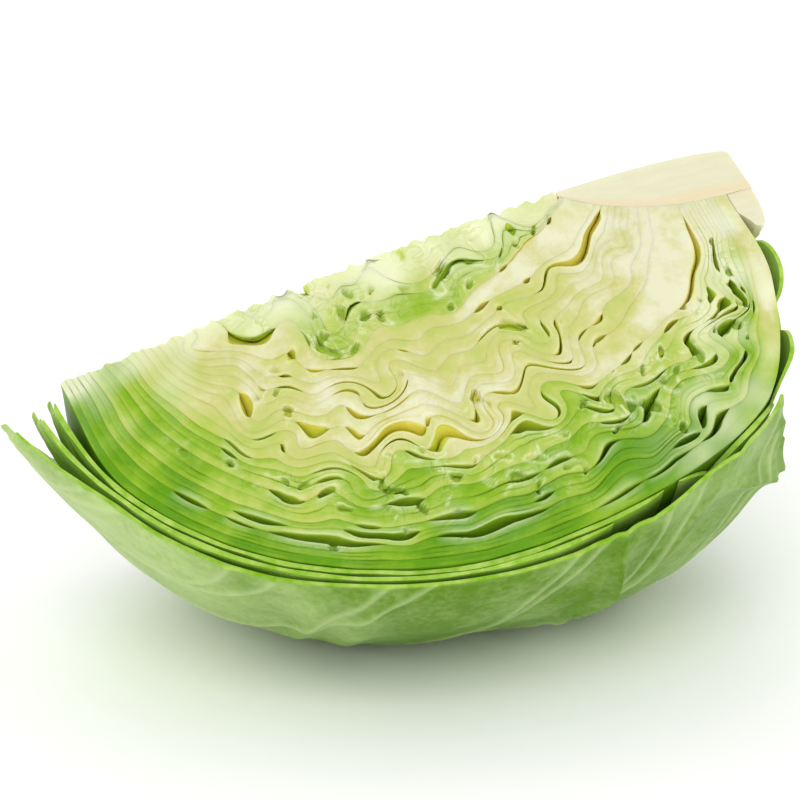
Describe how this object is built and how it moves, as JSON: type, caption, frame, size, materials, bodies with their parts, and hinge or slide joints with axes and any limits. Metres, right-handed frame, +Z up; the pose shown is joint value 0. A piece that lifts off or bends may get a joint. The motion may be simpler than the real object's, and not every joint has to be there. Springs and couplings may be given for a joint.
{
  "type": "cabbage wedge",
  "caption": "Quarter wedge of a white cabbage head with nested leaves, a short core and a loose wrapper leaf that it lies on.",
  "frame": {"origin": "bottom centre of the box, on the surface that the wedge lies on", "axes": "+Z up as it lies, +X along the ridge towards the trimmed stem, -Y towards the side that the front cut faces"},
  "size_m": [0.1692, 0.1094, 0.0955],
  "materials": {
    "core": "moist cut stem, cream white, faintly fibrous",
    "heart_leaf": "pale yellow inner leaf, moist cut edge",
    "green_leaf": "light green leaf, satin",
    "outer_leaf": "fresh green leaf, satin",
    "wrapper_leaf": "pale green waxy leaf with whitish veins"
  },
  "bodies": {
    "root": {"core": "core", "stem_stub": "core", "heart_bud": "heart_leaf", "leaf_01": "heart_leaf", "leaf_02": "heart_leaf", "leaf_03": "heart_leaf", "leaf_04": "heart_leaf", "leaf_05": "heart_leaf", "leaf_06": "heart_leaf", "leaf_07": "heart_leaf", "leaf_08": "heart_leaf", "leaf_09": "heart_leaf", "leaf_10": "heart_leaf", "leaf_11": "heart_leaf", "leaf_12": "heart_leaf", "leaf_13": "green_leaf", "leaf_14": "green_leaf", "leaf_15": "green_leaf", "leaf_16": "green_leaf", "leaf_17": "green_leaf", "leaf_18": "green_leaf", "leaf_19": "outer_leaf", "leaf_20": "outer_leaf", "leaf_21": "outer_leaf", "leaf_22": "outer_leaf", "outer_leaf_1": "outer_leaf", "outer_leaf_2": "outer_leaf", "outer_leaf_3": "outer_leaf", "wrapper_leaf": "wrapper_leaf"}
  },
  "joints": []
}
